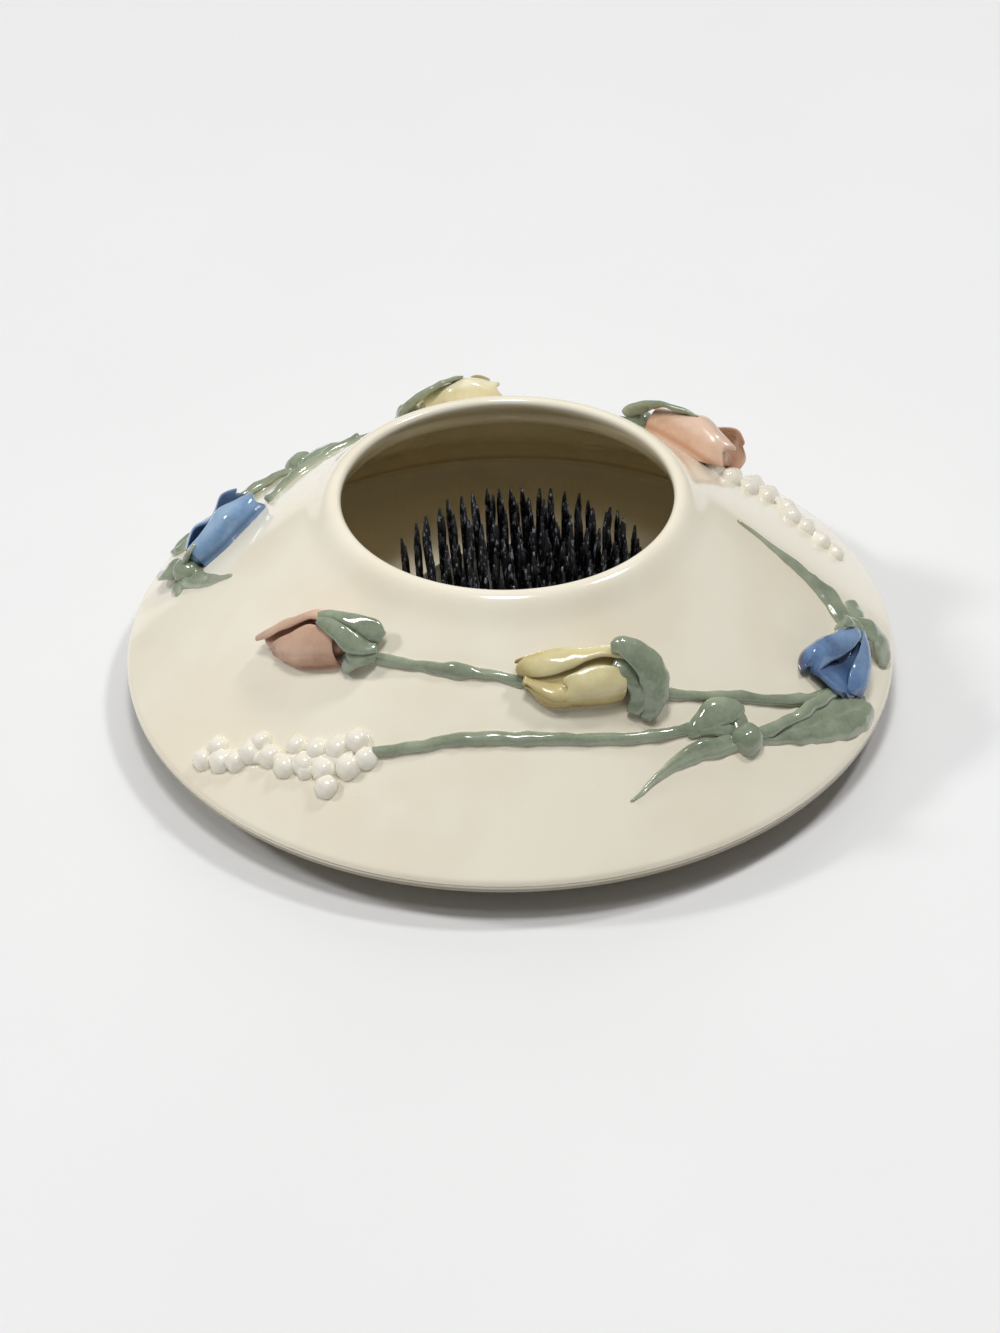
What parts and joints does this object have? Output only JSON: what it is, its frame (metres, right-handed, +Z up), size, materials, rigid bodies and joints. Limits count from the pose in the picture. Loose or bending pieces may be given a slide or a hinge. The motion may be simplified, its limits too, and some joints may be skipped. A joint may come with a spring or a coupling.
{
  "type": "ikebana suiban",
  "caption": "Low closed porcelain ikebana bowl with a wide brim, small round mouth, applied flower sprays and a lift-out pin holder inside.",
  "frame": {"origin": "middle of the foot ring on the table, which is the bottom centre of the bounding box", "axes": "+Z up along the bowl's axis out of the mouth, -Y the front in the picture, +X its right"},
  "size_m": [0.18, 0.18, 0.0532],
  "materials": {
    "cream_glaze": "gloss glaze",
    "holder_lead": "cast grey metal",
    "holder_pins": "drawn steel needles",
    "pink_glaze": "gloss glaze over dusty pink",
    "yellow_glaze": "gloss glaze over pale butter",
    "blue_glaze": "gloss glaze over blue",
    "sage_glaze": "gloss glaze over sage green",
    "white_glaze": "gloss glaze over white slip"
  },
  "bodies": {
    "vessel": {"upper_shell": "cream_glaze", "lower_bowl": "cream_glaze", "front_pink_bud": "pink_glaze", "front_yellow_bud": "yellow_glaze", "front_blue_bud": "blue_glaze", "front_pink_calyx": "sage_glaze", "front_yellow_calyx": "sage_glaze", "front_blue_calyx": "sage_glaze", "front_left_stem": "sage_glaze", "front_right_stem": "sage_glaze", "front_blossom_stem": "sage_glaze", "front_blossoms": "white_glaze", "front_leaf_knot": "sage_glaze", "front_twist_leaf": "sage_glaze", "front_down_leaf": "sage_glaze", "front_low_leaf": "sage_glaze", "front_long_leaf": "sage_glaze", "back_pink_bud": "pink_glaze", "back_yellow_bud": "yellow_glaze", "back_blue_bud": "blue_glaze", "back_pink_calyx": "sage_glaze", "back_yellow_calyx": "sage_glaze", "back_blue_calyx": "sage_glaze", "back_left_stem": "sage_glaze", "back_right_stem": "sage_glaze", "back_blossom_stem": "sage_glaze", "back_blossoms": "white_glaze", "back_leaf_knot": "sage_glaze", "back_twist_leaf": "sage_glaze", "back_down_leaf": "sage_glaze", "back_low_leaf": "sage_glaze", "back_long_leaf": "sage_glaze"},
    "pin_holder": {"pin_holder_base": "holder_lead", "pin_holder_pins": "holder_pins"}
  },
  "joints": [
    {"name": "holder_lift", "type": "slide", "parent": "vessel", "child": "pin_holder", "axis": [0, 0, 1], "range_m": [0, 0.05]}
  ]
}
